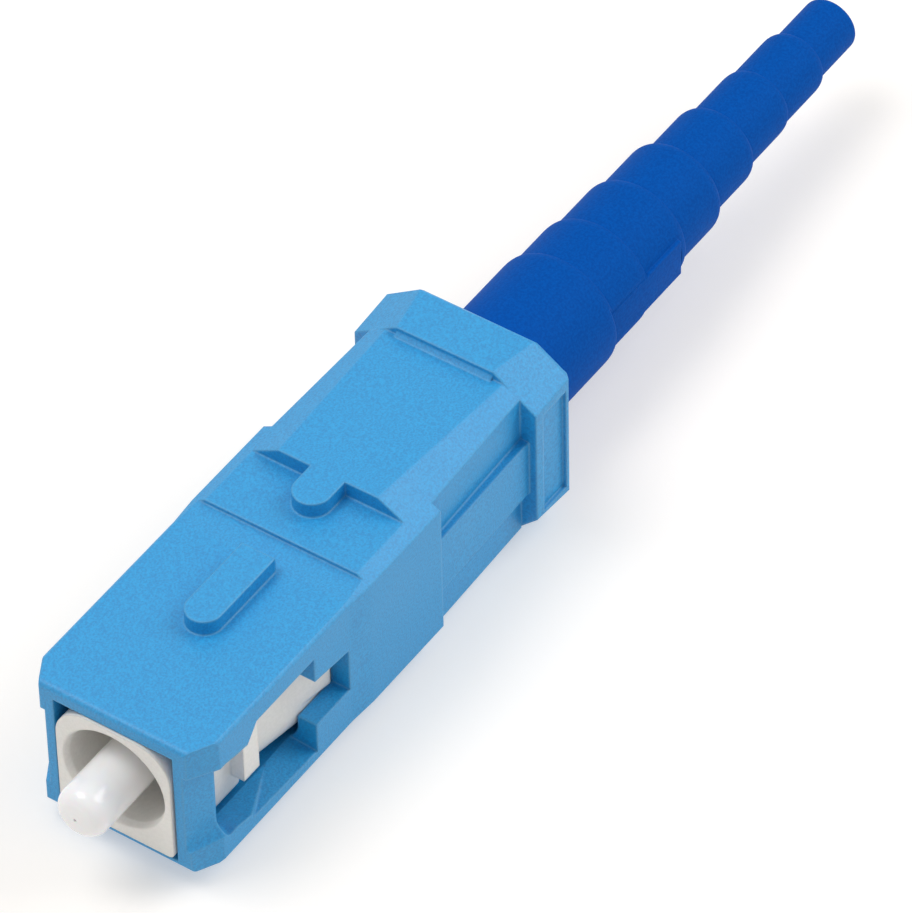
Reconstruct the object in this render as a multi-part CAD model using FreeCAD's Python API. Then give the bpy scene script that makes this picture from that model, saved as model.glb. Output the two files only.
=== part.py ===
import FreeCAD, Part
import math
import os
from FreeCAD import Vector

# SC fibre connector plug, ready for terminating. Millimetres, +X is the mating direction, +Z is the key side.
# The origin is on the optical axis in the plane of the housing's front face.
# Every "depth" below is a distance behind that plane.

# Fits and travels
sliding_gap = 0.05      # between the plug frame and the housing that slides on it
seat_gap = 0.05         # between pieces assembled face to face
running_gap = 0.10      # round pieces that pass through one another
mouth_gap = 0.12        # around the plug frame at the housing's front opening
housing_travel = 1.8    # the housing pulls back this far to release the plug
ferrule_travel = 1.5    # the ferrule floats back this far against its spring

# Outer housing
body_width = 9.0
body_height = 7.34
housing_length = 27.2
nose_chamfer_width = 0.75
nose_chamfer_length = 1.36
nose_round = 0.25
body_front_length = 10.7
waist_depth = 12.15
waist_height = 7.52
waist_width = 9.2
edge_bevel = 0.12
platform_top = 3.95
bevel_angle = 30.0
deck_depth = 15.67
deck_top = 4.73
deck_flat = 2.56
deck_rear_flat = 3.07
tongue_width = 1.8
tongue_reach = 2.02
grip_depth = 17.42
grip_front_half = 4.15
grip_rear_half = 3.9
rib_top = 1.6
rib_bottom = 1.5
rib_front_half = 4.5
rib_rear_half = 4.35
rib_chamfer = 0.6

# Finger collar at the back of the housing
collar_depth = 24.45
collar_top = 4.85
collar_flat = 2.5
collar_rear_flat = 2.97
collar_half = 4.75
collar_shoulder = 3.35
collar_rear_shoulder = 3.6
collar_low_flat = 3.0
collar_low = 4.75
collar_low_shoulder = 3.0
collar_rear_low_shoulder = 3.25
collar_rear_bevel = 0.25
collar_foot = 0.2
panel_front = 25.0
panel_rear = 26.75
panel_top = 3.0
panel_low = 2.9
panel_sink = 0.2

# Key on top of the housing
key_width = 1.72
key_top = 4.45
key_front = 5.8
key_rear = 10.6

# Side windows for the adapter's hooks
channel_top = 2.1
channel_low = 2.45
channel_floor = 3.5
channel_floor_rear = 4.0
channel_blend = 0.15
channel_blend_rear = 1.0
window_front = 1.5
window_rear = 8.15
ramp_inner_half = 3.17
ramp_inner_depth = 6.1
ramp_outer_depth = 3.35
ramp_rise_depth = 4.0
wedge_top_front = 2.0
wedge_top_rear = 1.73
wedge_low_front = 2.3
wedge_low_rear = 2.67
window_top = 2.58
window_low = 2.95
window_rear_low = 3.25
slot_rear = 10.62
slot_front_top = 1.2
slot_top = 0.9
slot_low = 1.51
corner_radius = 1.2

# Plug frame
frame_proud = 0.1
frame_half = 2.94
frame_top = 2.93
frame_low = 3.2
frame_top_radius = 1.7
frame_foot_radius = 0.3
frame_heel_radius = 0.65
frame_collar_depth = 0.9
flare_front = 5.2
flare_half = 3.45
frame_rear_radius = 1.7
frame_rear_depth = 18.0
bore_radius = 2.5
bore_lead = 0.12
bore_lead_length = 0.3
bore_depth = 6.0
bulkhead = 1.5
chamber_radius = 2.45
frame_key_width = 0.7
frame_key_height = 0.5
frame_key_turns = (0, 180)
lug_front = 4.05
lug_length = 1.1
lug_half = 3.65
lug_top = 1.2
lug_low = 1.75
catch_play = 0.35      # room for the housing to move forward before its slot meets the catch
catch_half = 3.73
catch_top = 0.75
catch_low = 1.41
catch_round = 0.3
snap_slot_width = 1.8

# Ferrule and its metal flange
ferrule_radius = 1.25
ferrule_tip = 2.85
ferrule_length = 10.5
ferrule_chamfer_length = 0.62
ferrule_end_radius = 0.85
ferrule_end_round = 0.35
ferrule_seat_taper = 0.01
capillary_radius = 0.063
capillary_funnel_radius = 0.4
capillary_funnel_length = 0.6
nose_depth = 4.95
nose_radius = 1.6
flange_radius = 2.2
flange_thickness = 2.0
flange_notches = 4
notch_depth = 0.45
tail_radius = 1.15
tail_length = 4.5

# Spring
spring_radius = 1.65
wire_radius = 0.2
wire_flats = 6
spring_turns = 5.0

# Back post, crimp sleeve and guide tube
post_cup_length = 2.1
post_cup_inner = 2.0
post_seat_depth = 15.6
post_bore = 1.35
post_shoulder_radius = 2.85
post_shoulder_thickness = 0.95
post_snap_height = 0.3
post_snap_length = 0.9
post_snap_setback = 1.25
barrel_radius = 2.0
barrel_length = 7.0
knurl_depth = 0.1
knurl_pitch = 1.6
knurl_rings = 3
sleeve_wall = 0.4
sleeve_length = 6.3
sleeve_setback = 0.2
tube_radius = 0.75
tube_bore = 0.5
tube_reach = 0.8

# Boot
boot_setback = 1.0
boot_radius = 3.09
boot_tube_room = 0.5
boot_bore = 0.6
boot_rear = 55.8
boot_first_shoulder = 32.9
boot_second_shoulder = 35.8
boot_step_pitch = 3.265
boot_shoulder_length = 0.6
boot_shoulder_turn = 0.35
boot_segment_radii = (2.89, 2.68, 2.45, 2.08, 1.78, 1.63, 1.38)
boot_tip_ease = 0.3
pad_front = 33.3
pad_rear = 39.1
pad_half_height = 1.0
pad_face = 2.63

past = 1.0          # how far a cutting tool reaches beyond the face it opens
touching = 1e-6     # points nearer than this are one point


# ---- drawing helpers ----

def across(depth):
    """Places (y, z) in the plane across the axis at a depth."""
    return lambda p: Vector(-depth, p.x, p.y)


def in_plan(level):
    """Places (depth, y) in a level plane."""
    return lambda p: Vector(-p.x, p.y, level)


def in_elevation(y):
    """Places (depth, z) in an upright plane along the axis."""
    return lambda p: Vector(-p.x, y, p.y)


def outline(corners, place):
    """Closed wire through (u, v) corners. A third value rounds the corner by that radius, or cuts it flat
    by that much where it is negative."""
    points = [Vector(c[0], c[1], 0) for c in corners]
    eases = [c[2] if len(c) > 2 else 0.0 for c in corners]
    bends = []
    for i, here in enumerate(points):
        back = (points[i - 1] - here).normalize()
        ahead = (points[(i + 1) % len(points)] - here).normalize()
        half = back.getAngle(ahead) / 2
        reach = eases[i] / math.tan(half) if eases[i] > 0 else -eases[i]
        inward = (back + ahead).normalize() if eases[i] > 0 else Vector()
        middle = here + inward * (eases[i] / math.sin(half) - eases[i])
        bends.append((here + back * reach, middle, here + ahead * reach))
    edges = []
    for i, (start, middle, end) in enumerate(bends):
        following = bends[(i + 1) % len(bends)][0]
        if eases[i] > 0:
            edges.append(Part.Arc(place(start), place(middle), place(end)).toShape())
        elif eases[i] < 0:
            edges.append(Part.makeLine(place(start), place(end)))
        if end.distanceToPoint(following) > touching:
            edges.append(Part.makeLine(place(end), place(following)))
    return Part.Wire(edges)


def both_sides(half):
    """Completes a half section, given from the top down on the +Y side, with its mirror image."""
    return list(half) + [(-c[0],) + tuple(c[1:]) for c in reversed(half)]


def loft(sections):
    """Solid with straight sides through (depth, corners) sections."""
    wires = [outline(corners, across(depth)) for depth, corners in sections]
    return Part.makeLoft(wires, True, True)


def bar(corners, front, rear):
    """Solid of one constant section between two depths."""
    return Part.Face(outline(corners, across(front))).extrude(Vector(front - rear, 0, 0))


def plate(corners, low, high):
    """Solid of one plan outline between two levels."""
    return Part.Face(outline(corners, in_plan(low))).extrude(Vector(0, 0, high - low))


def block(front, rear, y_low, y_high, z_low, z_high):
    """Box between two depths."""
    corner = Vector(-rear, y_low, z_low)
    return Part.makeBox(rear - front, y_high - y_low, z_high - z_low, corner)


def turned(corners):
    """Solid of revolution about the optical axis from (depth, radius) corners."""
    face = Part.Face(outline(corners, in_plan(0)))
    return face.revolve(Vector(), Vector(1, 0, 0), 360)


def rod(radius, front, rear):
    """Cylinder on the optical axis."""
    return Part.makeCylinder(radius, rear - front, Vector(-rear, 0, 0), Vector(1, 0, 0))


def mirror_y(shape):
    return shape.mirror(Vector(), Vector(0, 1, 0))


def mirror_z(shape):
    return shape.mirror(Vector(), Vector(0, 0, 1))


def round_box(half, top, low, top_radius, low_radius):
    """Corners of a rounded section about the axis."""
    return both_sides([(half, top, top_radius), (half, -low, low_radius)])


def save(name, shape):
    """Writes one piece as its own file."""
    shape = shape.removeSplitter()
    shape.exportStep("parts/" + name + ".step")
    print(f"{name:16s} solids {len(shape.Solids)} valid {shape.isValid()} volume {shape.Volume:9.3f}")
    return shape


# ---- sizes that follow from others ----

bevel_slope = math.tan(math.radians(bevel_angle))
body_half = body_width / 2
body_top = body_height / 2
waist_half = waist_width / 2
waist_top = waist_height / 2
tunnel_half = flare_half + sliding_gap
tunnel_top = frame_top + sliding_gap
tunnel_low = frame_low + sliding_gap
catch_rear = slot_rear - catch_play
flare_slope = (catch_half - frame_half) / (catch_rear - flare_front)
flare_rear = flare_front + (flare_half - frame_half) / flare_slope
mouth_rear = lug_front - housing_travel - seat_gap
flange_front = bore_depth + bulkhead + seat_gap
flange_rear = flange_front + flange_thickness
ferrule_rear = ferrule_length - ferrule_tip
post_cup_front = post_seat_depth - post_cup_length
post_shoulder_front = frame_rear_depth + seat_gap
post_shoulder_rear = post_shoulder_front + post_shoulder_thickness
post_snap_rear = post_shoulder_front - post_snap_setback
barrel_rear = post_shoulder_rear + barrel_length
tube_rear = barrel_rear + tube_reach
sleeve_inner = barrel_radius + seat_gap
sleeve_outer = sleeve_inner + sleeve_wall
sleeve_front = post_shoulder_rear + sleeve_setback
boot_front = post_shoulder_rear + boot_setback
boot_wide_bore_rear = tube_rear + ferrule_travel + boot_tube_room


def bevel_level(half):
    """Height of the long bevel at a distance from the middle plane."""
    return deck_top - (half - deck_flat) * bevel_slope


def bevel_half(level):
    """Distance from the middle plane at which the long bevel has a level."""
    return deck_flat + (deck_top - level) / bevel_slope


def beveled(flat, top, side):
    """Section with the long bevels between its flats and its sides, the same above and below."""
    shoulder = bevel_level(side)
    return both_sides([(flat, top), (side, shoulder), (side, -shoulder), (flat, -top)])


# ---- outer housing ----

def body_section():
    """Square section of the body with its long edges cut flat."""
    return both_sides([(body_half, body_top, -edge_bevel), (body_half, -body_top, -edge_bevel)])


def housing_front():
    """Front of the body: the corners of its nose cut back, and its upper and lower front edges rounded."""
    inner = body_half - nose_chamfer_width
    plan = [(0, inner), (nose_chamfer_length, body_half), (body_front_length, body_half),
            (body_front_length, -body_half), (nose_chamfer_length, -body_half), (0, -inner)]
    side = [(0, body_top, nose_round), (body_front_length, body_top),
            (body_front_length, -body_top), (0, -body_top, nose_round)]
    profile = Part.Face(outline(side, in_elevation(-body_half))).extrude(Vector(0, body_width, 0))
    body = bar(body_section(), 0, body_front_length)
    return body.common(plate(plan, -body_top, body_top)).common(profile)


def housing_waist():
    """Gentle swelling from the square front to the bevelled middle."""
    return loft([(body_front_length, body_section()),
                 (waist_depth, beveled(bevel_half(waist_top), waist_top, waist_half))])


def housing_middle():
    """Platform behind the waist line, and the start of the raised deck."""
    platform = bar(beveled(bevel_half(platform_top), platform_top, waist_half), waist_depth, grip_depth)
    deck = loft([(deck_depth, beveled(deck_flat, deck_top, waist_half)),
                 (grip_depth, beveled(*deck_at(grip_depth), waist_half))])
    return platform.fuse(deck)


def deck_at(depth):
    """Half width and level of the deck's flat, which sinks a little as it widens towards the back."""
    share = (depth - deck_depth) / (collar_depth - deck_depth)
    flat = deck_flat + share * (deck_rear_flat - deck_flat)
    return flat, bevel_level(flat)


def housing_grip():
    """Narrower rear of the body between the deck and the finger collar, with a rib on each side."""
    body = loft([(grip_depth, beveled(*deck_at(grip_depth), grip_front_half)),
                 (collar_depth, beveled(*deck_at(collar_depth), grip_rear_half))])
    rib = loft([(grip_depth, rib_section(rib_front_half)), (collar_depth, rib_section(rib_rear_half))])
    return body.fuse(rib).fuse(mirror_y(rib))


def rib_section(half):
    """Side rib: square above, chamfered below."""
    root = tunnel_half
    return [(root, rib_top), (half, rib_top), (half, -rib_bottom),
            (half - rib_chamfer, -rib_bottom - rib_chamfer), (root, -rib_bottom - rib_chamfer)]


def collar_section(flat, top, half, shoulder, low_shoulder, low_flat, low):
    return both_sides([(flat, top), (half, shoulder), (half, -low_shoulder), (low_flat, -low)])


def housing_collar():
    """Eight-sided finger collar with a blank sunk panel on each side."""
    bevel_front = housing_length - collar_rear_bevel
    inset = collar_rear_bevel
    front = collar_section(collar_flat, collar_top, collar_half, collar_shoulder,
                           collar_low_shoulder, collar_low_flat, collar_low)
    rear = collar_section(collar_rear_flat, collar_top, collar_half, collar_rear_shoulder,
                          collar_rear_low_shoulder, collar_low_flat, collar_low)
    end = collar_section(collar_rear_flat, collar_top - inset, collar_half - inset, collar_rear_shoulder,
                         collar_rear_low_shoulder, collar_low_flat, collar_low - inset)
    collar = loft([(collar_depth, front), (bevel_front, rear)])
    collar = collar.fuse([loft([(bevel_front, rear), (housing_length, end)]), collar_fillet()])
    sunk = collar_half - panel_sink
    panel = block(panel_front, panel_rear, sunk, collar_half + past, -panel_low, panel_top)
    return collar.cut(panel).cut(mirror_y(panel))


def collar_fillet():
    """Slanted fillet at the foot of the collar's front wall, on the deck."""
    level = deck_at(collar_depth)[1]
    front = collar_depth - collar_foot
    foot = [(front, deck_at(front)[1]), (collar_depth, level + collar_foot),
            (collar_depth + collar_foot, level), (collar_depth, level - collar_foot)]
    return Part.Face(outline(foot, in_elevation(-collar_flat))).extrude(Vector(0, 2 * collar_flat, 0))


def housing_key():
    """Key with a round front that stops the plug from entering upside down."""
    half = key_width / 2
    corners = [(key_front, half, half), (key_rear, half), (key_rear, -half), (key_front, -half, half)]
    return plate(corners, body_top - sliding_gap, key_top)


def housing_tongue():
    """Round-ended tongue that runs forward from the deck over the platform."""
    half = tongue_width / 2
    front = deck_depth - tongue_reach
    rear = deck_depth + sliding_gap
    corners = [(front, half, half), (rear, half), (rear, -half), (front, -half, half)]
    return plate(corners, platform_top - sliding_gap, deck_top)


def side_channel_rear():
    """Section in which the side channel meets the window."""
    far = waist_half + past
    floor = channel_floor_rear
    return (window_front, [(floor, wedge_top_front), (far, wedge_top_front), (far, -wedge_low_front),
                           (floor, -wedge_low_front, channel_blend_rear)])


def side_channel():
    """Shallow lead-in for the adapter's hook in front of the side window, on the +Y side."""
    far = waist_half + past
    front = [(channel_floor, channel_top), (far, channel_top), (far, -channel_low),
             (channel_floor, -channel_low, channel_blend)]
    return loft([(-seat_gap, front), side_channel_rear()])


def window_section(depth, inner, top_out, low_out, blend=0):
    """Section of the side window, open outwards: its floor line and its slanted upper and lower faces, which
    reach their own levels at the body's side."""
    far = waist_half + past
    reach = body_half - ramp_inner_half
    top_slope = (window_top - top_out) / reach
    low_slope = (window_low - low_out) / reach
    return (depth, [(inner, top_out + (body_half - inner) * top_slope),
                    (far, top_out - (far - body_half) * top_slope),
                    (far, -low_out + (far - body_half) * low_slope),
                    (inner, -low_out - (body_half - inner) * low_slope, blend)])


def window_wedges():
    """Void between the window's wedges, which starts where the side channel ends."""
    share = (mouth_rear - window_front) / (ramp_outer_depth - window_front)
    top_out = wedge_top_front + share * (wedge_top_rear - wedge_top_front)
    low_out = wedge_low_front + share * (wedge_low_rear - wedge_low_front)
    start = loft([side_channel_rear(),
                  window_section(mouth_rear, tunnel_half, top_out, low_out, channel_blend)])
    flush_top = window_top - seat_gap
    flush_low = window_low - seat_gap
    wedges = loft([window_section(mouth_rear, ramp_inner_half, top_out, low_out),
                   window_section(ramp_outer_depth, ramp_inner_half, wedge_top_rear, wedge_low_rear),
                   window_section(ramp_inner_depth, ramp_inner_half, flush_top, flush_low)])
    return start.fuse(wedges)


def window_recess():
    """Void behind the wedges, swept along the ramp that lifts the adapter's hook as the housing moves."""
    far = waist_half + past
    root = frame_half - past
    run = ramp_inner_depth - ramp_outer_depth
    rise = body_half - ramp_inner_half
    back = window_rear + run + past
    profile = [(ramp_outer_depth, -wedge_low_rear), (ramp_outer_depth + seat_gap, -window_low),
               (back, -window_rear_low), (back, window_top), (ramp_rise_depth, window_top),
               (ramp_outer_depth - seat_gap, wedge_top_rear)]
    slide = Vector(run, rise, 0) / rise
    recess = Part.Face(outline(profile, in_elevation(body_half)))
    recess.translate(slide * (far - body_half))
    recess = recess.extrude(slide * (root - far))
    return recess.common(block(mouth_rear, window_rear, root, far + past, -far, far))


def catch_slot():
    """Slot behind the window for the plug frame's side catch; its upper face sinks towards the back."""
    far = waist_half + past
    slope = (slot_front_top - slot_top) / (slot_rear - window_rear)
    front = window_rear - past
    root = frame_half - past
    profile = [(front, -slot_low), (front, slot_front_top + past * slope),
               (slot_rear, slot_top), (slot_rear, -slot_low)]
    return Part.Face(outline(profile, in_elevation(root))).extrude(Vector(0, far - root, 0))


def side_window():
    """Side window, on the +Y side."""
    through = block(mouth_rear, window_rear, frame_half - past, ramp_inner_half, -window_low, window_top)
    return window_wedges().fuse([through, window_recess(), catch_slot()])


def housing_tunnel():
    """The hollow that the plug frame slides in, with a wider round opening at the back for the boot."""
    half = frame_half + mouth_gap
    opening = both_sides([(half, tunnel_top), (half, -frame_low - mouth_gap)])
    mouth = bar(opening, -past, mouth_rear)
    tunnel = bar(round_box(tunnel_half, tunnel_top, tunnel_low, corner_radius, corner_radius),
                 mouth_rear, housing_length + past)
    boot_front_back = boot_front - housing_travel - running_gap
    room = rod(boot_radius + running_gap, boot_front_back, housing_length + past)
    return mouth.fuse([tunnel, room])


def outer_housing():
    """The push-pull housing, one moulding."""
    body = housing_front().fuse([housing_waist(), housing_middle(), housing_grip(), housing_collar(),
                                 housing_key(), housing_tongue()])
    body = body.removeSplitter()
    for side in (side_channel(), side_window()):
        body = body.cut(side).cut(mirror_y(side))
    return body.cut(housing_tunnel())


# ---- plug frame ----

def frame_shell():
    """Outside of the frame: front collar, slim front, flare and rear body."""
    collar = bar(round_box(frame_half, frame_top, frame_low, frame_top_radius, frame_foot_radius),
                 -frame_proud, frame_collar_depth)
    lug_middle = lug_front + lug_length / 2
    heel = round_box(frame_half, frame_top, frame_low, frame_top_radius, frame_heel_radius)
    slim = round_box(frame_half, frame_top, frame_low, frame_top_radius, frame_rear_radius)
    wide = round_box(flare_half, frame_top, frame_low, frame_rear_radius, frame_rear_radius)
    front = bar(heel, frame_collar_depth, lug_middle)
    waist = bar(slim, lug_middle, flare_front)
    flare = loft([(flare_front, slim), (flare_rear, wide)])
    rear = bar(wide, flare_rear, frame_rear_depth)
    return collar.fuse([front, waist, flare, rear])


def frame_lug():
    """Latch lug that the adapter's hook snaps behind, on the +Y side."""
    return block(lug_front, lug_front + lug_length, bore_radius + seat_gap, lug_half, -lug_low, lug_top)


def frame_catch():
    """Side catch, on the +Y side: it carries the flare's slope on through the housing's slot, and its square
    rear end keeps the frame in the housing."""
    root = frame_half - 2 * catch_round

    def section(half):
        return [(root, catch_top), (half, catch_top, catch_round),
                (half, -catch_low, catch_round), (root, -catch_low)]
    return loft([(flare_front, section(frame_half)), (catch_rear, section(catch_half))])


def frame_bore():
    """Mating bore, the bulkhead's hole and the spring chamber."""
    mouth = bore_radius + bore_lead
    hole = nose_radius + running_gap
    chamber_front = bore_depth + bulkhead
    return turned([(-frame_proud - past, 0), (-frame_proud - past, mouth), (-frame_proud, mouth),
                   (bore_lead_length - frame_proud, bore_radius), (bore_depth, bore_radius),
                   (bore_depth, hole), (chamber_front, hole), (chamber_front, chamber_radius),
                   (frame_rear_depth + past, chamber_radius), (frame_rear_depth + past, 0)])


def frame_key(turn):
    """Key in the chamber that the ferrule flange's notch slides on."""
    rear = flange_rear + ferrule_travel + running_gap
    key = block(bore_depth + bulkhead / 2, rear, chamber_radius - frame_key_height, chamber_radius + seat_gap,
                -frame_key_width / 2, frame_key_width / 2)
    key.rotate(Vector(), Vector(1, 0, 0), turn)
    return key


def plug_frame():
    """The inner moulding that carries the bore, the latch lugs and the side catches."""
    lug = frame_lug()
    catch = frame_catch()
    frame = frame_shell().fuse([lug, mirror_y(lug), catch, mirror_y(catch)]).removeSplitter()
    frame = frame.cut(frame_bore())
    frame = frame.fuse([frame_key(turn) for turn in frame_key_turns])
    slot_half = snap_slot_width / 2 + sliding_gap
    slots = block(post_snap_rear - post_snap_length - seat_gap, post_snap_rear + seat_gap,
                  -flare_half - past, flare_half + past, -slot_half, slot_half)
    return frame.cut(slots)


# ---- ferrule set ----

def ferrule():
    """Ceramic pin with a rounded nose, a lead-in funnel at the back and a very slight taper on its seat."""
    nose_start = ferrule_chamfer_length - ferrule_tip
    seat = nose_depth - seat_gap
    rear_radius = ferrule_radius - ferrule_seat_taper
    funnel = ferrule_rear - capillary_funnel_length
    return turned([(-ferrule_tip, capillary_radius), (-ferrule_tip, ferrule_end_radius, ferrule_end_round),
                   (nose_start, ferrule_radius), (seat, ferrule_radius), (ferrule_rear, rear_radius),
                   (ferrule_rear, capillary_funnel_radius), (funnel, capillary_radius)])


def ferrule_flange():
    """Turned metal flange that the ferrule is pressed into, with notches for the frame's keys."""
    seat = nose_depth - seat_gap
    slope = ferrule_seat_taper / (ferrule_rear - seat)
    mouth = ferrule_radius - (nose_depth - seat) * slope
    floor = ferrule_radius - ferrule_seat_taper
    tail_bore = tube_radius + seat_gap
    tail_rear = flange_rear + tail_length
    body = turned([(nose_depth, mouth), (nose_depth, nose_radius, -running_gap), (flange_front, nose_radius),
                   (flange_front, flange_radius), (flange_rear, flange_radius), (flange_rear, tail_radius),
                   (tail_rear, tail_radius), (tail_rear, tail_bore), (ferrule_rear, tail_bore),
                   (ferrule_rear, floor)])
    half = frame_key_width / 2 + running_gap
    notch = block(flange_front - seat_gap, flange_rear + seat_gap, flange_radius - notch_depth,
                  flange_radius + past, -half, half)
    for i in range(flange_notches):
        cut = notch.copy()
        cut.rotate(Vector(), Vector(1, 0, 0), 360 / flange_notches * i)
        body = body.cut(cut)
    return body


def ferrule_spring():
    """Helical spring between the flange and the back post's seat, its wire drawn with flats."""
    front = flange_rear + running_gap + wire_radius
    rear = post_seat_depth - seat_gap - wire_radius
    length = rear - front
    path = Part.makeHelix(length / spring_turns, length, spring_radius)
    turns = [math.tau * i / wire_flats for i in range(wire_flats + 1)]
    points = [Vector(spring_radius + wire_radius * math.cos(t), 0, wire_radius * math.sin(t)) for t in turns]
    coil = Part.Wire(path).makePipeShell([Part.makePolygon(points)], True, True)
    coil.rotate(Vector(), Vector(0, 1, 0), -90)
    coil.translate(Vector(-front, 0, 0))
    return coil


def guide_tube():
    """Thin tube in the flange's tail that leads the fibre into the ferrule."""
    front = ferrule_rear + seat_gap
    return rod(tube_radius, front, tube_rear).cut(rod(tube_bore, front - past, tube_rear + past))


# ---- back post, crimp sleeve and boot ----

def stop_ring():
    """Turned back post: spring cup, shoulder behind the frame, and the ringed barrel for the crimp."""
    cup = chamber_radius - sliding_gap
    profile = [(post_cup_front, post_cup_inner), (post_cup_front, cup, -running_gap),
               (post_shoulder_front, cup), (post_shoulder_front, post_shoulder_radius, -running_gap),
               (post_shoulder_rear, post_shoulder_radius, -running_gap), (post_shoulder_rear, barrel_radius)]
    first = post_shoulder_rear + knurl_pitch
    for i in range(knurl_rings):
        at = first + i * knurl_pitch
        profile += [(at, barrel_radius), (at + knurl_pitch / 4, barrel_radius - knurl_depth),
                    (at + knurl_pitch / 2, barrel_radius)]
    profile += [(barrel_rear, barrel_radius, -knurl_depth), (barrel_rear, post_bore),
                (post_seat_depth, post_bore), (post_seat_depth, post_cup_inner)]
    ring = turned(profile)
    snap = rod(cup + post_snap_height, post_snap_rear - post_snap_length, post_snap_rear)
    snap = snap.cut(rod(post_cup_inner, post_cup_front, post_shoulder_rear))
    half = snap_slot_width / 2
    snap = snap.common(block(post_cup_front, post_shoulder_rear, -body_half, body_half, -half, half))
    return ring.fuse(snap)


def crimp_sleeve():
    """Sleeve crimped over the barrel, with eased ends."""
    rear = sleeve_front + sleeve_length
    ease = sleeve_wall / 3
    return turned([(sleeve_front, sleeve_inner), (sleeve_front, sleeve_outer, -ease),
                   (rear, sleeve_outer, -ease), (rear, sleeve_inner)])


def boot_shoulders():
    """Depth of each shoulder; all but the first are evenly spaced."""
    evenly = len(boot_segment_radii) - 1
    return [boot_first_shoulder] + [boot_second_shoulder + i * boot_step_pitch for i in range(evenly)]


def boot_outside():
    """Outline of the boot: a straight front, then slimmer and slimmer segments behind rounded shoulders."""
    corners = [(boot_front, boot_radius)]
    before = boot_radius
    for at, radius in zip(boot_shoulders(), boot_segment_radii):
        turn = before - (before - radius) * boot_shoulder_turn
        corners += [(at, before), (at + boot_shoulder_length / 2, turn), (at + boot_shoulder_length, radius)]
        before = radius
    return corners + [(boot_rear, before, -boot_tip_ease)]


def boot():
    """Strain-relief boot, one soft moulding, with a blank flat pad on the +Y side."""
    wide = sleeve_outer + seat_gap
    inside = [(boot_rear, boot_bore), (boot_wide_bore_rear, boot_bore), (boot_wide_bore_rear, wide),
              (boot_front, wide)]
    body = turned(boot_outside() + inside)
    body = body.cut(block(pad_front, pad_rear, pad_face, boot_radius + past, -boot_radius, boot_radius))
    return body.fuse(block(pad_front, pad_rear, pad_face / 2, pad_face, -pad_half_height, pad_half_height))


os.makedirs("parts", exist_ok=True)
save("outer_housing", outer_housing())
save("plug_frame", plug_frame())
save("ferrule", ferrule())
save("ferrule_flange", ferrule_flange())
save("ferrule_spring", ferrule_spring())
save("guide_tube", guide_tube())
save("stop_ring", stop_ring())
save("crimp_sleeve", crimp_sleeve())
save("boot", boot())
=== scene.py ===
import math

import bpy
from mathutils import Matrix, Vector


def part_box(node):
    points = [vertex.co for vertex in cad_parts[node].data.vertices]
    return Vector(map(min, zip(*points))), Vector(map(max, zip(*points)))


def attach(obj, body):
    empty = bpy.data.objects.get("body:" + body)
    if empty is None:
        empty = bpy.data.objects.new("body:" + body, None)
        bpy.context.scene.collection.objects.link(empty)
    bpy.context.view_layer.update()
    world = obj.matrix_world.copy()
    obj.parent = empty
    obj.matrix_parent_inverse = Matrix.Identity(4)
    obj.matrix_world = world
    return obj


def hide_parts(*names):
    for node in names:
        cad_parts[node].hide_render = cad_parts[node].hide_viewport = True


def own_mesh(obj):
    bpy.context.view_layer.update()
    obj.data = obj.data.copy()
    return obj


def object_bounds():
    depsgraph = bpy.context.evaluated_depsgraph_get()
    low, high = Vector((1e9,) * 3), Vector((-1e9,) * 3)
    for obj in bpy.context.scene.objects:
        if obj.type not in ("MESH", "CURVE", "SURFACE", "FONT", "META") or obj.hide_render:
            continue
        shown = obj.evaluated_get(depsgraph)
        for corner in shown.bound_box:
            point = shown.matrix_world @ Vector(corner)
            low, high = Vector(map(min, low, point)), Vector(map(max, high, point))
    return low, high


bl_info = {
    "name": "Fibre connector dresser",
    "version": (1, 0, 0),
    "blender": (4, 5, 0),
    "location": "3D View > Sidebar > Connector",
    "description": "Gives a push-pull fibre connector its moulded, ceramic and metal finishes, "
                   "and sets up the studio",
    "category": "Material",
}

MM = 0.001
WELD = 0.002 * MM                   # points nearer than this are merged
WHITE = (1.0, 1.0, 1.0, 1.0)

# Resolution of the turned and wound pieces
ROUND_SIDES = 96
WIRE_SIDES = 12
SHOULDER_STEPS = 6
DOME_STEPS = 10

# The ferrule's polished tip: share of the pin's radius, and how far back the face lies there in mm
TIP_CROWN = ((0.35, 0.02), (0.5, 0.05))

# The boot's radius behind each of its shoulders, in mm
BOOT_RADII = (2.89, 2.68, 2.45, 2.08, 1.78, 1.63, 1.38)

# Where a Mix node keeps its colours among its sockets
MIX_FIRST, MIX_SECOND, MIX_RESULT = 6, 7, 2

# Middle of the connector, which the lamps face
MIDDLE = Vector((-25.0, 0.0, 0.0)) * MM

FLOOR_SIZE = 6.0                    # metres
SENSOR_WIDTH = 36.0                 # millimetres

# How far the painted highlight on rounded edges covers the colour under it
PAINTED_HIGHLIGHT_SHARE = 0.6

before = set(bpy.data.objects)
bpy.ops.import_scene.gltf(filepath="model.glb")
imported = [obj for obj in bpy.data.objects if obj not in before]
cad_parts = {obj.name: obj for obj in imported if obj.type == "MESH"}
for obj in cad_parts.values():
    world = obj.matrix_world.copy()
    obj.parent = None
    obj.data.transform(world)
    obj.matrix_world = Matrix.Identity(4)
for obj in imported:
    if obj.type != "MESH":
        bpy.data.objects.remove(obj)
cad_low, cad_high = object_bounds()


# ---- settings a user would change ----

def colour(name, description, default):
    return bpy.props.FloatVectorProperty(name=name, description=description, default=default,
                                         size=3, min=0.0, max=1.0, subtype="COLOR")


def length(name, description, default):
    return bpy.props.FloatProperty(name=name, description=description, default=default,
                                   min=0.0, max=10.0, subtype="DISTANCE", unit="LENGTH")


def place(name, description, default):
    return bpy.props.FloatVectorProperty(name=name, description=description, default=default,
                                         size=3, subtype="XYZ", unit="LENGTH")


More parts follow.
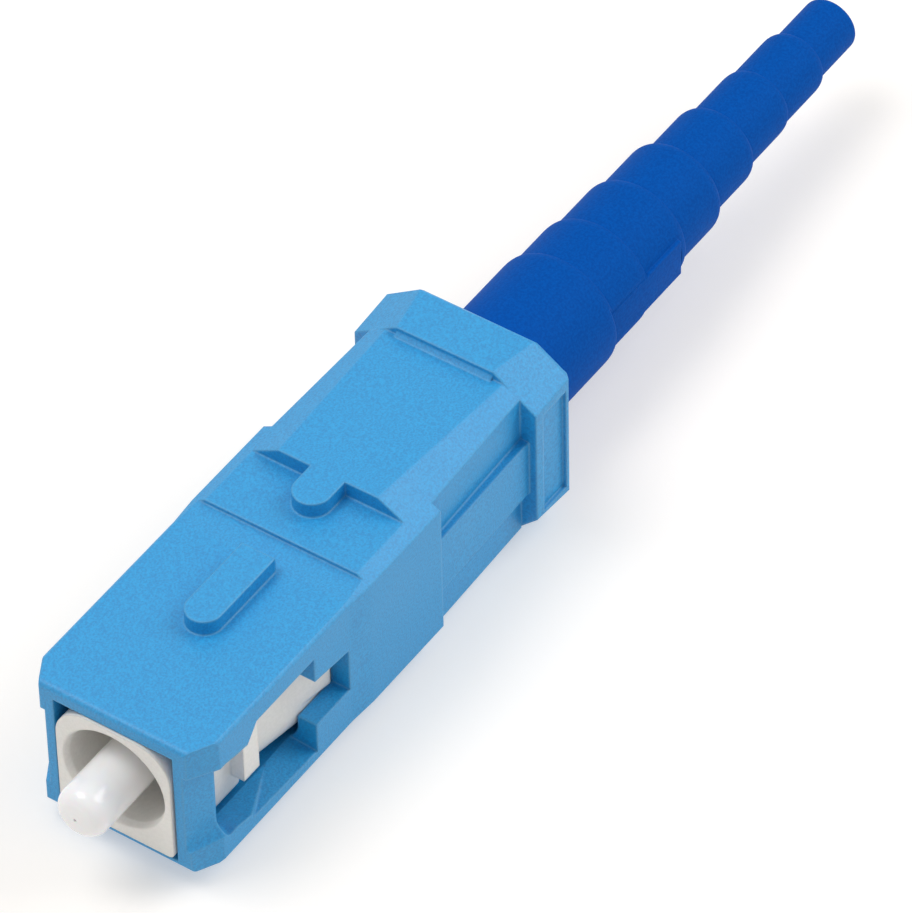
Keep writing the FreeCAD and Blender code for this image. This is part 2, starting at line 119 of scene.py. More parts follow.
def angle(name, description, degrees):
    return bpy.props.FloatProperty(name=name, description=description,
                                   default=math.radians(degrees), subtype="ANGLE", unit="ROTATION")


def amount(name, description, default, high=100.0):
    return bpy.props.FloatProperty(name=name, description=description, default=default,
                                   min=0.0, max=high)


class ConnectorFinish(bpy.types.PropertyGroup):
    """Colours and surface sizes of the connector's pieces."""
    housing_colour: colour("Housing", "Light blue of the push-pull housing",
                           (0.006, 0.335, 0.695))
    housing_shade: colour("Housing shade", "Deeper blue between the grains of the housing",
                          (0.004, 0.235, 0.545))
    # Painted highlight: paler blue painted along the housing's rounded edges
    housing_painted_highlight: colour("Housing edge", "Paler blue along the housing's rounded edges",
                         (0.11, 0.46, 0.80))
    frame_colour: colour("Plug frame", "Warm off-white of the inner moulding",
                         (0.84, 0.825, 0.785))
    ferrule_colour: colour("Ferrule", "White of the zirconia ferrule", (0.96, 0.96, 0.97))
    boot_colour: colour("Boot", "Dark blue of the soft boot", (0.0, 0.088, 0.42))
    boot_shade: colour("Boot shade", "Second blue mottled into the boot", (0.0, 0.070, 0.350))
    # Painted highlight: paler blue painted along the boot's rounded edges
    boot_painted_highlight: colour("Boot edge", "Paler blue along the boot's rounded edges",
                      (0.01, 0.11, 0.50))
    steel_colour: colour("Steel", "Turned flange and spring", (0.62, 0.62, 0.63))
    post_colour: colour("Back post", "Nickel-plated back post", (0.66, 0.64, 0.60))
    crimp_colour: colour("Crimp sleeve", "Plain drawn crimp sleeve", (0.72, 0.58, 0.36))
    tube_colour: colour("Guide tube", "Milky guide tube", (0.84, 0.84, 0.82))
    grain_size: length("Grain size", "Spacing of the spark-eroded grain on the housing",
                       0.10 * MM)
    # Also sets the width of the painted highlight along moulded edges
    edge_radius: length("Edge radius", "Rounding that catches light along moulded edges",
                        0.17 * MM)


class ConnectorFerrule(bpy.types.PropertyGroup):
    """Sizes of the ferrule's two ends."""
    bore: length("Bore radius", "Radius of the fine bore at the tip", 0.063 * MM)
    dimple: length("Dimple depth", "Depth to which the fine bore is open", 0.15 * MM)
    dome: length("Dome length", "Length over which the round shoulder reaches the side",
                 0.72 * MM)
    rear_ease: length("Rear rounding", "Rounding at the ferrule's rear end", 0.12 * MM)


class ConnectorSpring(bpy.types.PropertyGroup):
    """Sizes of the ferrule's spring."""
    wire_radius: length("Wire radius", "Radius of the spring's wire", 0.2 * MM)
    closed_gap: length("Closed gap", "Gap between the wires of a closed end turn", 0.02 * MM)
    turns: bpy.props.IntProperty(name="Turns", default=6, min=3, max=20,
                                 description="Turns of the spring with its two closed ones")
    steps: bpy.props.IntProperty(name="Steps", default=28, min=12, max=64,
                                 description="Steps in which a turn is wound")


class ConnectorBoot(bpy.types.PropertyGroup):
    """Sizes of the boot, as distances behind the housing's front face."""
    first_shoulder: length("First shoulder", "Where the boot first steps down", 32.9 * MM)
    second_shoulder: length("Second shoulder", "First of the evenly spaced shoulders", 35.8 * MM)
    step_pitch: length("Step pitch", "Spacing of the shoulders", 3.265 * MM)
    shoulder_length: length("Shoulder length", "Length over which a shoulder rounds down",
                            0.6 * MM)
    mouth_ease: length("Mouth chamfer", "Chamfer around the boot's front end", 0.06 * MM)
    tip_ease: length("Tip rounding", "Rounding at the boot's tip", 0.3 * MM)
    bore: length("Outlet radius", "Radius of the fibre's outlet", 0.6 * MM)
    wide_bore: length("Front bore radius", "Radius of the bore over the crimp sleeve", 2.5 * MM)
    wide_bore_end: length("Front bore end", "Depth at which the wide bore ends", 28.8 * MM)
    pad_front: length("Pad front", "Front end of the flat pad", 33.3 * MM)
    pad_rear: length("Pad rear", "Rear end of the flat pad", 39.1 * MM)
    pad_face: length("Pad face", "Distance of the pad's face from the axis", 2.63 * MM)
    pad_proud: length("Pad height", "How far the pad stands proud of the flat", 0.06 * MM)
    pad_half: length("Pad half height", "Half of the raised pad's height", 1.0 * MM)


class ConnectorStage(bpy.types.PropertyGroup):
    """Camera, floor and lamps."""
    azimuth: angle("Azimuth", "Camera direction about Z", 125.108)
    elevation: angle("Elevation", "Camera height angle", 45.621)
    roll: angle("Roll", "Camera roll", -1.237)
    distance: length("Distance", "Camera distance from the point it looks at", 339.1 * MM)
    look_at: place("Look at", "Point the camera faces", (-25.0 * MM, 0.727 * MM, -1.866 * MM))
    focal: bpy.props.FloatProperty(name="Focal length", description="Lens in millimetres",
                                   default=306.3, min=10.0)
    shift: bpy.props.FloatVectorProperty(name="Shift", default=(-0.0123, 0.0016), size=2,
                                         description="Lens shift, as a share of the frame")
    near_clip: length("Near clip", "Nearest distance the camera sees", 10.0 * MM)
    key_power: amount("Key", "Power of the overhead softbox", 0.46)
    key_place: place("Key place", "Overhead softbox, from the middle of the connector",
                     (80.0 * MM, -115.0 * MM, 290.0 * MM))
    key_size: length("Key size", "Side of the overhead softbox", 180.0 * MM)
    rim_power: amount("Rim", "Power of the softbox behind", 0.40)
    rim_place: place("Rim place", "Softbox behind, from the middle of the connector",
                     (-170.0 * MM, 160.0 * MM, 210.0 * MM))
    rim_size: length("Rim size", "Side of the softbox behind", 200.0 * MM)
    floor_colour: colour("Floor", "Pale grey of the floor", (0.71, 0.68, 0.645))
    floor_glow: amount("Floor glow", "Light of the floor as the camera sees it", 0.37, 1.0)
    bounce: amount("Bounce", "Light that the floor gives back evenly", 0.26, 1.0)
    sky: amount("Sky", "Strength of the even surrounding light", 0.46)


# ---- shader nodes, and the groups that the materials share ----

def new_group(name, inputs, outputs):
    """An empty shader group: its inputs are numbers by title, its outputs socket types by title."""
    group = bpy.data.node_groups.new(name, "ShaderNodeTree")
    for title, default in inputs.items():
        socket = group.interface.new_socket(title, in_out="INPUT", socket_type="NodeSocketFloat")
        socket.default_value = default
    for title, kind in outputs.items():
        group.interface.new_socket(title, in_out="OUTPUT", socket_type=kind)
    entry = group.nodes.new("NodeGroupInput")
    leave = group.nodes.new("NodeGroupOutput")
    return group, entry.outputs, leave.inputs


def add_node(tree, kind, sockets=None, **attributes):
    """A node with its attributes set by name, and its plain input values by socket title."""
    node = tree.nodes.new(kind)
    for title, value in attributes.items():
        setattr(node, title, value)
    for title, value in (sockets or {}).items():
        node.inputs[title].default_value = value
    return node


def feed(tree, socket, value):
    """Links an output to a socket, or sets the socket to a plain number or colour."""
    if isinstance(value, bpy.types.NodeSocket):
        tree.links.new(value, socket)
    elif isinstance(value, float):
        socket.default_value = value
    else:
        socket.default_value = (*value, 1.0)


def maths(tree, operation, first, second=0.0):
    """A Math node fed by sockets or numbers."""
    node = add_node(tree, "ShaderNodeMath", operation=operation)
    feed(tree, node.inputs[0], first)
    feed(tree, node.inputs[1], second)
    return node.outputs[0]


def mixed(tree, mask, first, second):
    """Colour that goes from the first to the second with a mask."""
    node = add_node(tree, "ShaderNodeMix", data_type="RGBA")
    feed(tree, node.inputs["Factor"], mask)
    feed(tree, node.inputs[MIX_FIRST], first)
    feed(tree, node.inputs[MIX_SECOND], second)
    return node.outputs[MIX_RESULT]


def spread(tree, noise, gain):
    """Noise with more contrast about its middle value of one half."""
    return maths(tree, "SUBTRACT", maths(tree, "MULTIPLY", noise, gain), (gain - 1.0) / 2)


def grain_group(name):
    """Fine moulded grain: a height for bump, a speckle for colour and wide patches for gloss."""
    group, entry, leave = new_group(
        name, {"Spacing mm": 0.09, "Patch mm": 2.5},
        {"Height": "NodeSocketFloat", "Speckle": "NodeSocketFloat", "Patch": "NodeSocketFloat"})
    own = add_node(group, "ShaderNodeTexCoord")
    fine = add_node(group, "ShaderNodeTexNoise", {"Detail": 3.0, "Roughness": 0.6})
    coarse = add_node(group, "ShaderNodeTexNoise", {"Detail": 2.0, "Roughness": 0.5})
    for spacing, texture in ((entry["Spacing mm"], fine), (entry["Patch mm"], coarse)):
        scale = maths(group, "DIVIDE", 1.0 / MM, spacing)
        group.links.new(scale, texture.inputs["Scale"])
        group.links.new(own.outputs["Object"], texture.inputs["Vector"])
    group.links.new(fine.outputs["Fac"], leave["Height"])
    group.links.new(spread(group, fine.outputs["Fac"], gain=4.0), leave["Speckle"])
    group.links.new(spread(group, coarse.outputs["Fac"], gain=2.0), leave["Patch"])
    return group


def edge_group(name):
    """Rounded-edge normal, and a mask that is bright where a moulded edge turns, which places the
    painted edge highlight.
    """
    group, entry, leave = new_group(name, {"Radius mm": 0.09},
                                    {"Normal": "NodeSocketVector", "Edge": "NodeSocketFloat"})
    bevel = add_node(group, "ShaderNodeBevel", samples=6)
    group.links.new(maths(group, "MULTIPLY", entry["Radius mm"], MM), bevel.inputs["Radius"])
    shape = add_node(group, "ShaderNodeNewGeometry")
    dot = add_node(group, "ShaderNodeVectorMath", operation="DOT_PRODUCT")
    group.links.new(bevel.outputs["Normal"], dot.inputs[0])
    group.links.new(shape.outputs["True Normal"], dot.inputs[1])
    turn = maths(group, "SUBTRACT", 1.0, dot.outputs["Value"])
    edge = add_node(group, "ShaderNodeMapRange", {"From Min": 0.005, "From Max": 0.16})
    group.links.new(turn, edge.inputs["Value"])
    group.links.new(bevel.outputs["Normal"], leave["Normal"])
    group.links.new(edge.outputs["Result"], leave["Edge"])
    return group


def turning_group(name):
    """Lathe rings about the connector's axis: a height that repeats along X, and its streaks."""
    group, entry, leave = new_group(name, {"Pitch mm": 0.05},
                                    {"Height": "NodeSocketFloat", "Streak": "NodeSocketFloat"})
    own = add_node(group, "ShaderNodeTexCoord")
    split = add_node(group, "ShaderNodeSeparateXYZ")
    group.links.new(own.outputs["Object"], split.inputs[0])
    pitch = maths(group, "MULTIPLY", entry["Pitch mm"], MM)
    along = maths(group, "DIVIDE", split.outputs["X"], pitch)
    wave = maths(group, "SINE", maths(group, "MULTIPLY", along, math.tau))
    streak = add_node(group, "ShaderNodeTexNoise", {"Scale": 1.0, "Detail": 4.0},
                      noise_dimensions="1D")
    group.links.new(along, streak.inputs["W"])
    group.links.new(wave, leave["Height"])
    group.links.new(streak.outputs["Fac"], leave["Streak"])
    return group


SHARED_GROUPS = {"moulded_grain": grain_group, "soft_edge": edge_group,
                 "lathe_rings": turning_group}


def place_group(tree, name, **values):
    """A shared group's node with its own values. The group is built where it is first used."""
    group = bpy.data.node_groups.get(name) or SHARED_GROUPS[name](name)
    node = add_node(tree, "ShaderNodeGroup", node_tree=group)
    for title, value in values.items():
        node.inputs[title.replace("_", " ")].default_value = value
    return node


# ---- materials ----

def start_material(name, **values):
    """A material with one Principled BSDF, and that shader's plain values set."""
    material = bpy.data.materials.new(name)
    material.use_nodes = True
    tree = material.node_tree
    shader = tree.nodes["Principled BSDF"]
    for title, value in values.items():
        shader.inputs[title.replace("_", " ")].default_value = value
    return material, tree, shader


def vary_roughness(tree, shader, mask, least, rise):
    """Roughness that rises from its least value with a mask."""
    rough = maths(tree, "ADD", least, maths(tree, "MULTIPLY", mask, rise))
    tree.links.new(rough, shader.inputs["Roughness"])


def add_bump(tree, shader, height, normal, strength, depth):
    """Raises a height on a normal that already turns at the edges."""
    node = add_node(tree, "ShaderNodeBump", {"Strength": strength, "Distance": depth})
    tree.links.new(height, node.inputs["Height"])
    tree.links.new(normal, node.inputs["Normal"])
    tree.links.new(node.outputs["Normal"], shader.inputs["Normal"])


def tinted(colours, factor):
    """A colour made darker or lighter, no brighter than white."""
    return [min(1.0, factor * value) for value in colours]


def moulded_material(name, main, shade, painted_highlight, spacing_mm, edge_mm, roughness, grain,
                     **values):
    """Moulded plastic: speckled colour, a painted highlight on rounded edges, grain in gloss and
    bump.
    """
    material, tree, shader = start_material(name, Roughness=roughness, **values)
    texture = place_group(tree, "moulded_grain", Spacing_mm=spacing_mm).outputs
    edge = place_group(tree, "soft_edge", Radius_mm=edge_mm).outputs
    body = mixed(tree, texture["Speckle"], shade, main)
    # Painted highlight: the edge mask mixes a paler colour into the rounded edges
    rim = maths(tree, "MULTIPLY", edge["Edge"], PAINTED_HIGHLIGHT_SHARE)
    body = mixed(tree, rim, body, painted_highlight)
    tree.links.new(body, shader.inputs["Base Color"])
    vary_roughness(tree, shader, texture["Patch"], least=roughness - 0.02, rise=0.04)
    add_bump(tree, shader, texture["Height"], edge["Normal"], strength=grain, depth=0.02 * MM)
    return material


def metal_material(name, main, pitch_mm, roughness):
    """Turned metal with fine lathe rings."""
    material, tree, shader = start_material(name, Roughness=roughness, Metallic=1.0)
    rings = place_group(tree, "lathe_rings", Pitch_mm=pitch_mm).outputs
    edge = place_group(tree, "soft_edge", Radius_mm=0.04).outputs
    body = mixed(tree, rings["Streak"], tinted(main, 0.82), main)
    tree.links.new(body, shader.inputs["Base Color"])
    vary_roughness(tree, shader, rings["Streak"], least=roughness, rise=0.12)
    add_bump(tree, shader, rings["Height"], edge["Normal"], strength=0.25, depth=0.004 * MM)
    return material


def ceramic_material(name, main):
    """Polished zirconia: glossy, very slightly cloudy white."""
    material, tree, shader = start_material(
        name, Roughness=0.16, Specular_IOR_Level=0.5, Coat_Weight=0.25, Coat_Roughness=0.05,
        Subsurface_Weight=0.15, Subsurface_Scale=0.4 * MM)
    texture = place_group(tree, "moulded_grain", Spacing_mm=0.5, Patch_mm=1.2).outputs
    edge = place_group(tree, "soft_edge", Radius_mm=0.12).outputs
    body = mixed(tree, texture["Patch"], tinted(main, 0.97), main)
    tree.links.new(body, shader.inputs["Base Color"])
    vary_roughness(tree, shader, texture["Patch"], least=0.14, rise=0.05)
    tree.links.new(edge["Normal"], shader.inputs["Normal"])
    return material


def dress(node, material):
    """Puts a material on a CAD node in place of what it came with."""
    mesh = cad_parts[node].data
    mesh.materials.clear()
    mesh.materials.append(material)


# ---- modelling helpers ----

def edit_all():
    """Opens the active piece in edit mode with everything on it selected."""
    bpy.ops.object.mode_set(mode="EDIT")
    bpy.ops.mesh.select_all(action="SELECT")


def settle(name):
    """Names the piece just added and puts its place, turn and size into its mesh."""
    piece = bpy.context.object
    piece.name = name
    bpy.ops.object.transform_apply(location=True, rotation=True, scale=True)
    return piece


def pick(piece):
    """Makes a piece the only one selected, and the active one."""
    bpy.ops.object.select_all(action="DESELECT")
    piece.select_set(True)
    bpy.context.view_layer.objects.active = piece


def lathe(name, rings):
    """Turned shape: a circle on the axis, extruded from ring to ring of (depth, radius) in mm."""
    bpy.ops.object.select_all(action="DESELECT")
    depth, radius = rings[0]
    bpy.ops.mesh.primitive_circle_add(vertices=ROUND_SIDES, radius=radius * MM,
                                      fill_type="NOTHING", location=(-depth * MM, 0.0, 0.0),
                                      rotation=(0.0, math.pi / 2, 0.0))
    piece = settle(name)
    edit_all()
    for next_depth, next_radius in rings[1:]:
        bpy.ops.mesh.extrude_region_move(
            TRANSFORM_OT_translate={"value": ((depth - next_depth) * MM, 0.0, 0.0)})
        growth = next_radius / radius
        bpy.ops.transform.resize(value=(1.0, growth, growth),
                                 center_override=(-next_depth * MM, 0.0, 0.0))
        depth, radius = next_depth, next_radius
    bpy.ops.mesh.select_all(action="SELECT")
    bpy.ops.mesh.remove_doubles(threshold=WELD)
    bpy.ops.mesh.normals_make_consistent(inside=False)
    bpy.ops.object.mode_set(mode="OBJECT")
    return piece


def quarter(start, end, steps):
    """Quarter ellipse of (depth, radius) that leaves its start level and ends upright."""
    turns = [math.pi / 2 * i / steps for i in range(steps + 1)]
    return [(start[0] + (end[0] - start[0]) * math.sin(turn),
             end[1] + (start[1] - end[1]) * math.cos(turn)) for turn in turns]


def eased_block(name, low, high, ease=0.0):
    """Box between two corners in metres, with its edges rounded by ease where it isn't zero."""
    bpy.ops.object.select_all(action="DESELECT")
    middle = [(a + b) / 2 for a, b in zip(low, high)]
    bpy.ops.mesh.primitive_cube_add(size=1.0, location=middle)
    bpy.context.object.scale = [b - a for a, b in zip(low, high)]
    piece = settle(name)
    if ease:
        edit_all()
        bpy.ops.mesh.bevel(offset=ease, segments=3, affect="EDGES")
        bpy.ops.object.mode_set(mode="OBJECT")
    return piece


def carve(piece, tool, operation):
    """Joins or cuts a piece with a tool that is then thrown away."""
    pick(piece)
    bpy.ops.object.modifier_add(type="BOOLEAN")
    change = piece.modifiers[-1]
    change.operation = operation
    change.solver = "EXACT"
    change.object = tool
    bpy.ops.object.modifier_apply(modifier=change.name)
    bpy.data.objects.remove(tool)


def smooth(piece, degrees):
    """Smooth shading, with edges sharper than an angle kept crisp."""
    pick(piece)
    bpy.ops.object.shade_smooth_by_angle(angle=math.radians(degrees))


def stand_for(piece, node, body, material):
    """Gives a modelled piece its material, and lets it stand for a CAD node on a body."""
    piece.data.materials.clear()
    piece.data.materials.append(material)
    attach(piece, body)
    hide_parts(node)


# ---- operators ----

class CONNECTOR_OT_housing(bpy.types.Operator):
    """Light blue matt plastic on the push-pull housing"""
    bl_idname = "connector.housing_finish"
    bl_label = "Housing"

    def execute(self, context):
        look = context.scene.connector_finish
        # The third colour is the painted highlight on the housing's rounded edges
        material = moulded_material(
            "housing_blue", look.housing_colour, look.housing_shade, look.housing_painted_highlight,
            spacing_mm=look.grain_size / MM, edge_mm=look.edge_radius / MM, roughness=0.50,
            grain=0.9, Specular_IOR_Level=0.8)
        dress("outer_housing", material)
        return {"FINISHED"}


class CONNECTOR_OT_frame(bpy.types.Operator):
    """Warm off-white satin plastic on the plug frame"""
    bl_idname = "connector.frame_finish"
    bl_label = "Plug frame"

    def execute(self, context):
        look = context.scene.connector_finish
        main = look.frame_colour
        # tinted(main, 1.08) is a painted highlight on the frame's rounded edges
        material = moulded_material(
            "frame_off_white", main, tinted(main, 0.95), tinted(main, 1.08), spacing_mm=0.16,
            edge_mm=look.edge_radius / MM, roughness=0.42, grain=0.15, Subsurface_Weight=0.08,
            Subsurface_Scale=0.4 * MM)
        dress("plug_frame", material)
        return {"FINISHED"}


class CONNECTOR_OT_ferrule(bpy.types.Operator):
    """Polished white ceramic ferrule with a domed tip and the dimple of its fine bore"""
    bl_idname = "connector.ferrule_piece"
    bl_label = "Ferrule"

    def execute(self, context):
        look = context.scene.connector_finish
        shape = context.scene.connector_ferrule
        low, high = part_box("ferrule")
        piece = lathe("ferrule_pin", self.outline(shape, -high[0] / MM, -low[0] / MM,
                                                  high[2] / MM))
        smooth(piece, degrees=40.0)
        material = ceramic_material("zirconia_white", look.ferrule_colour)
        stand_for(piece, "ferrule", "ferrule_set", material)
        return {"FINISHED"}

    def outline(self, shape, tip, rear, radius):
        """Rings from the dimple's floor over the tip to the rear, and back along a thin core."""
        bore, floor, ease = shape.bore / MM, tip + shape.dimple / MM, shape.rear_ease / MM
        core = bore / 2
        crown = [(tip + back, share * radius) for share, back in TIP_CROWN]
        dome = quarter((tip + shape.dome / MM, radius), crown[-1], DOME_STEPS)
        rings = [(floor, core), (floor, bore), (tip, bore)] + crown[:-1] + dome[::-1]
        rings += [(rear - ease, radius), (rear - ease / 3, radius - ease / 3),
                  (rear, radius - ease)]
        return rings + [(rear, core), (floor, core)]


class CONNECTOR_OT_metals(bpy.types.Operator):
    """Turned and drawn metal on the flange, back post and crimp sleeve"""
    bl_idname = "connector.metal_finish"
    bl_label = "Metal pieces"

    def execute(self, context):
        look = context.scene.connector_finish
        dress("ferrule_flange", metal_material("turned_steel", look.steel_colour,
                                               pitch_mm=0.06, roughness=0.28))
        dress("stop_ring", metal_material("plated_post", look.post_colour,
                                          pitch_mm=0.05, roughness=0.24))
        dress("crimp_sleeve", metal_material("drawn_sleeve", look.crimp_colour,
                                             pitch_mm=0.30, roughness=0.34))
        return {"FINISHED"}


class CONNECTOR_OT_spring(bpy.types.Operator):
    """Round-wire compression spring with closed ends"""
    bl_idname = "connector.spring_piece"
    bl_label = "Ferrule spring"

    def execute(self, context):
        look = context.scene.connector_finish
        shape = context.scene.connector_spring
        low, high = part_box("ferrule_spring")
        reach = high[0] - low[0]
        piece = self.wind(shape, start=high[0] - shape.wire_radius,
                          coil=high[2] - shape.wire_radius, run=reach - 2 * shape.wire_radius)
        smooth(piece, degrees=50.0)
        material = metal_material("drawn_wire", look.steel_colour, pitch_mm=0.40, roughness=0.24)
        stand_for(piece, "ferrule_spring", "core", material)
        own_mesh(piece)
        return {"FINISHED"}

    def wind(self, shape, start, coil, run):
        """Extrudes the wire's section about the axis. The first and last turns lie closed."""
        bpy.ops.object.select_all(action="DESELECT")
        bpy.ops.mesh.primitive_circle_add(vertices=WIRE_SIDES, radius=shape.wire_radius,
                                          fill_type="NGON", location=(start, 0.0, coil),
                                          rotation=(math.pi / 2, 0.0, 0.0))
        piece = settle("round_wire_spring")
        closed = 2 * shape.wire_radius + shape.closed_gap
        open_pitch = (run - 2 * closed) / (shape.turns - 2)
        steps = shape.steps
        edit_all()
        for i in range(shape.turns * steps):
            end_turn = i < steps or i >= (shape.turns - 1) * steps
            pitch = closed if end_turn else open_pitch
            bpy.ops.mesh.extrude_region_move(
                TRANSFORM_OT_translate={"value": (-pitch / steps, 0.0, 0.0)})
            bpy.ops.transform.rotate(value=math.tau / steps, orient_axis="X",
                                     center_override=(start, 0.0, 0.0))
        bpy.ops.mesh.select_all(action="SELECT")
        bpy.ops.mesh.normals_make_consistent(inside=False)
        bpy.ops.object.mode_set(mode="OBJECT")
        return piece


class CONNECTOR_OT_tube(bpy.types.Operator):
    """Milky extruded plastic on the guide tube"""
    bl_idname = "connector.tube_finish"
    bl_label = "Guide tube"

    def execute(self, context):
        main = context.scene.connector_finish.tube_colour
        material = moulded_material(
            "tube_milky", main, tinted(main, 0.96), main, spacing_mm=0.3, edge_mm=0.03,
            roughness=0.30, grain=0.1, Subsurface_Weight=0.2, Subsurface_Scale=0.3 * MM)
        dress("guide_tube", material)
        return {"FINISHED"}


class CONNECTOR_OT_boot(bpy.types.Operator):
    """Soft stepped boot in dark blue, with rounded shoulders and its blank flat pad"""
    bl_idname = "connector.boot_piece"
    bl_label = "Boot"

    def execute(self, context):
        look = context.scene.connector_finish
        shape = context.scene.connector_boot
        low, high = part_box("boot")
        piece = lathe("strain_relief_boot", self.outline(shape, -high[0] / MM, -low[0] / MM,
                                                         high[2] / MM))
        self.add_pad(piece, shape, high[1])
        smooth(piece, degrees=32.0)
        material = moulded_material(
            "boot_blue", look.boot_colour, look.boot_shade, look.boot_painted_highlight, spacing_mm=0.12,
            edge_mm=0.12, roughness=0.66, grain=0.5, Specular_IOR_Level=0.05)
        stand_for(piece, "boot", "core", material)
        return {"FINISHED"}

    def outline(self, shape, front, rear, radius):
        """Rings from the front mouth along the outside to the tip, and back through the bore."""
        bore, wide = shape.bore / MM, shape.wide_bore / MM
        mouth = shape.mouth_ease / MM
        rings = [(front, wide), (front, radius - mouth), (front + mouth, radius)]
        shoulder = shape.first_shoulder / MM
        for i, slimmer in enumerate(BOOT_RADII):
            end = (shoulder + shape.shoulder_length / MM, slimmer)
            rings += quarter((shoulder, radius), end, SHOULDER_STEPS)
            radius = slimmer
            shoulder = (shape.second_shoulder + i * shape.step_pitch) / MM
        ease = shape.tip_ease / MM
        rings += quarter((rear - ease, radius), (rear, radius - ease), SHOULDER_STEPS)
        room_end = shape.wide_bore_end / MM
        return rings + [(rear, bore), (room_end, bore), (room_end, wide), (front, wide)]

    def add_pad(self, piece, shape, reach):
        """Flat cut on the +Y side, with the blank pad that stands on it and is rooted inside."""
        front, rear = -shape.pad_front, -shape.pad_rear
        face, half, proud = shape.pad_face, shape.pad_half, shape.pad_proud
        cut = eased_block("pad_cut", (rear, face, -reach), (front, 2 * reach, reach))
        carve(piece, cut, "DIFFERENCE")
        pad = eased_block("pad", (rear + proud, face / 2, -half),
                          (front - proud, face + proud, half), proud / 2)
        carve(piece, pad, "UNION")


class CONNECTOR_OT_stage(bpy.types.Operator):
    """Pale floor, softboxes, even sky and the camera"""
    bl_idname = "connector.studio"
    bl_label = "Studio"

    def execute(self, context):
        stage = context.scene.connector_stage
        self.add_camera(context, stage)
        self.add_floor(stage)
        self.add_softbox("key_softbox", stage.key_place, stage.key_size, stage.key_power)
        self.add_softbox("rim_softbox", stage.rim_place, stage.rim_size, stage.rim_power)
        self.add_sky(context, stage.sky)
        context.scene.view_settings.view_transform = "Standard"
        return {"FINISHED"}

    def add_camera(self, context, stage):
        """Camera about the point it looks at, from its direction and height, then rolled."""
        azimuth, elevation, roll = stage.azimuth, stage.elevation, stage.roll
        back = Vector((math.sin(azimuth) * math.cos(elevation),
                       -math.cos(azimuth) * math.cos(elevation), math.sin(elevation)))
        right = Vector((math.cos(azimuth), math.sin(azimuth), 0.0))
        up = back.cross(right)
        turned_right = right * math.cos(roll) + up * math.sin(roll)
        turned_up = up * math.cos(roll) - right * math.sin(roll)
        bpy.ops.object.camera_add(location=Vector(stage.look_at) + back * stage.distance)
        camera = context.object
        camera.name = "studio_camera"
        camera.data.lens = stage.focal
        camera.data.sensor_width = SENSOR_WIDTH
        camera.data.shift_x, camera.data.shift_y = stage.shift
        camera.data.clip_start = stage.near_clip
        camera.rotation_euler = Matrix((turned_right, turned_up, back)).transposed().to_euler()
        context.scene.camera = camera

    def add_floor(self, stage):
        """Pale floor under the connector, lifted for the camera and in gloss by its own glow."""
        bpy.ops.mesh.primitive_plane_add(size=FLOOR_SIZE, location=(0.0, 0.0, cad_low[2]))
        floor = settle("studio_floor")
        material, tree, shader = start_material(
            "floor_white", Roughness=0.9, Specular_IOR_Level=0.1,
            Base_Color=(*stage.floor_colour, 1.0), Emission_Color=WHITE)
        path = add_node(tree, "ShaderNodeLightPath").outputs
        seen = maths(tree, "MAXIMUM", path["Is Camera Ray"], path["Is Glossy Ray"])
        lift = maths(tree, "MULTIPLY", seen, stage.floor_glow - stage.bounce)
        tree.links.new(maths(tree, "ADD", lift, stage.bounce), shader.inputs["Emission Strength"])
        floor.data.materials.append(material)

    def add_softbox(self, name, offset, size, power):
        """A square area lamp that faces the middle of the connector."""
        spot = MIDDLE + Vector(offset)
        bpy.ops.object.light_add(type="AREA", location=spot)
        lamp = bpy.context.object
        lamp.name = name
        lamp.data.energy = power
        lamp.data.shape = "SQUARE"
        lamp.data.size = size
        lamp.rotation_euler = (MIDDLE - spot).to_track_quat("-Z", "Y").to_euler()

    def add_sky(self, context, strength):
        """Even surrounding light, which is plain white where the camera or gloss sees it."""
        world = bpy.data.worlds.new("studio_sky")
        world.use_nodes = True
        context.scene.world = world
        tree = world.node_tree
        sky = tree.nodes["Background"]
        sky.inputs["Color"].default_value = WHITE
        path = add_node(tree, "ShaderNodeLightPath").outputs
        direct = maths(tree, "MAXIMUM", path["Is Camera Ray"], path["Is Transmission Ray"])
        seen = maths(tree, "MAXIMUM", direct, path["Is Glossy Ray"])
        lift = maths(tree, "MULTIPLY", seen, 1.0 - strength)
        tree.links.new(maths(tree, "ADD", lift, strength), sky.inputs["Strength"])


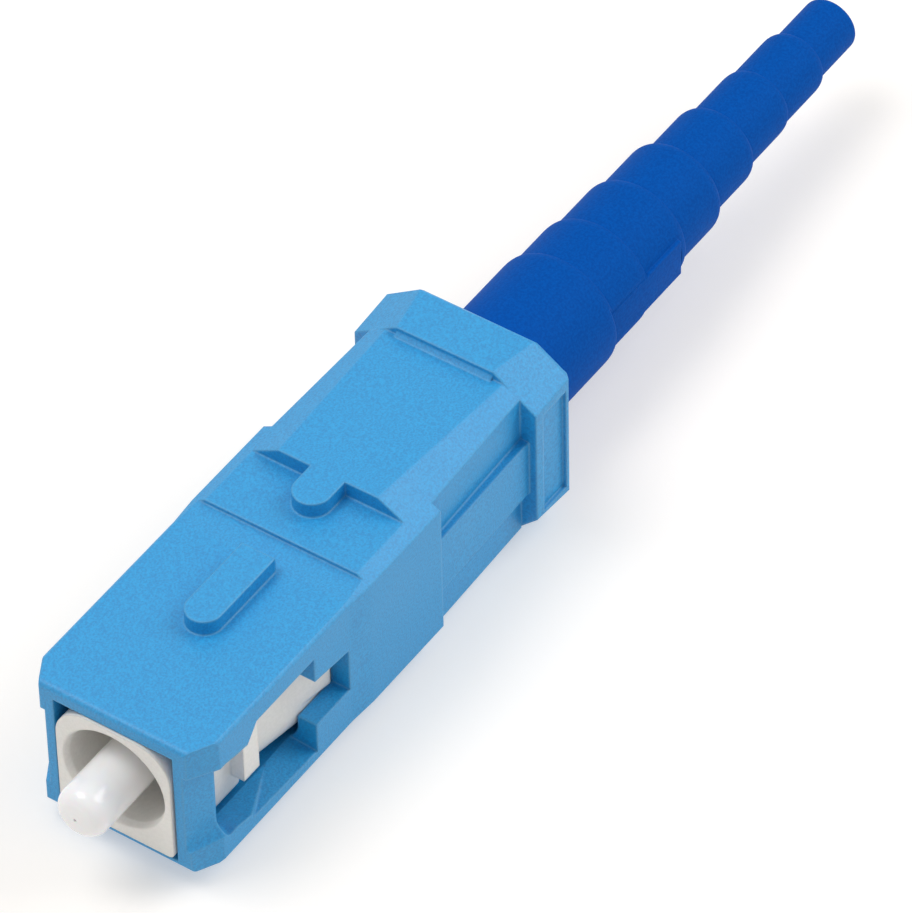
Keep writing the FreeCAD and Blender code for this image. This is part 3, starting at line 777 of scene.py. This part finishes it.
class CONNECTOR_PT_panel(bpy.types.Panel):
    """The connector's finishes and studio"""
    bl_idname = "CONNECTOR_PT_panel"
    bl_label = "Connector"
    bl_space_type = "VIEW_3D"
    bl_region_type = "UI"
    bl_category = "Connector"

    def draw(self, context):
        for operator in OPERATORS:
            self.layout.operator(operator.bl_idname)
        scene = context.scene
        for group in (scene.connector_finish, scene.connector_ferrule, scene.connector_spring,
                      scene.connector_boot, scene.connector_stage):
            for name in group.__annotations__:
                self.layout.prop(group, name)


OPERATORS = (CONNECTOR_OT_housing, CONNECTOR_OT_frame, CONNECTOR_OT_ferrule, CONNECTOR_OT_metals,
             CONNECTOR_OT_spring, CONNECTOR_OT_tube, CONNECTOR_OT_boot, CONNECTOR_OT_stage)
SETTINGS = (ConnectorFinish, ConnectorFerrule, ConnectorSpring, ConnectorBoot, ConnectorStage)
CLASSES = SETTINGS + OPERATORS + (CONNECTOR_PT_panel,)


def register():
    for item in CLASSES:
        bpy.utils.register_class(item)
    bpy.types.Scene.connector_finish = bpy.props.PointerProperty(type=ConnectorFinish)
    bpy.types.Scene.connector_ferrule = bpy.props.PointerProperty(type=ConnectorFerrule)
    bpy.types.Scene.connector_spring = bpy.props.PointerProperty(type=ConnectorSpring)
    bpy.types.Scene.connector_boot = bpy.props.PointerProperty(type=ConnectorBoot)
    bpy.types.Scene.connector_stage = bpy.props.PointerProperty(type=ConnectorStage)


def unregister():
    del bpy.types.Scene.connector_stage
    del bpy.types.Scene.connector_boot
    del bpy.types.Scene.connector_spring
    del bpy.types.Scene.connector_ferrule
    del bpy.types.Scene.connector_finish
    for item in reversed(CLASSES):
        bpy.utils.unregister_class(item)


def main():
    register()
    bpy.ops.object.select_all(action="DESELECT")
    bpy.ops.connector.housing_finish()
    bpy.ops.connector.frame_finish()
    bpy.ops.connector.ferrule_piece()
    bpy.ops.connector.metal_finish()
    bpy.ops.connector.spring_piece()
    bpy.ops.connector.tube_finish()
    bpy.ops.connector.boot_piece()
    bpy.ops.connector.studio()
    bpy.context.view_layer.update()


if __name__ == "__main__":
    main()
